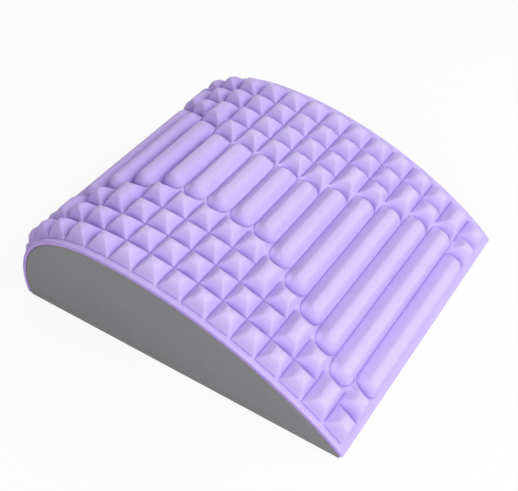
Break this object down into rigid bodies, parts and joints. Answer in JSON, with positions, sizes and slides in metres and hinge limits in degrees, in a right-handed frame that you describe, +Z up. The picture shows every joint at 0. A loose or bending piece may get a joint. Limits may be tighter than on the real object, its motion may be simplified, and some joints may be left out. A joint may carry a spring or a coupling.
{
  "type": "back stretcher pillow",
  "caption": "Arched foam back stretcher pillow: a flat-based grey foam wedge with a moulded lavender mat of massage pyramids and finger ribs glued over its arch.",
  "frame": {"origin": "centre of the bounding box's base: the middle of the length and the width, on the flat underside", "axes": "+Z up, +Y along the length towards the tall nose, -Y towards the thin edge, +X across the width"},
  "size_m": [0.3124, 0.3682, 0.1141],
  "materials": {
    "core_foam": "matte closed-cell foam, cut sides",
    "adhesive": "clear dried contact adhesive",
    "mat_foam": "soft matte moulded foam with a smooth skin"
  },
  "bodies": {
    "root": {"foam_core": "core_foam", "adhesive_film": "adhesive", "relief_mat": "mat_foam"}
  },
  "joints": []
}
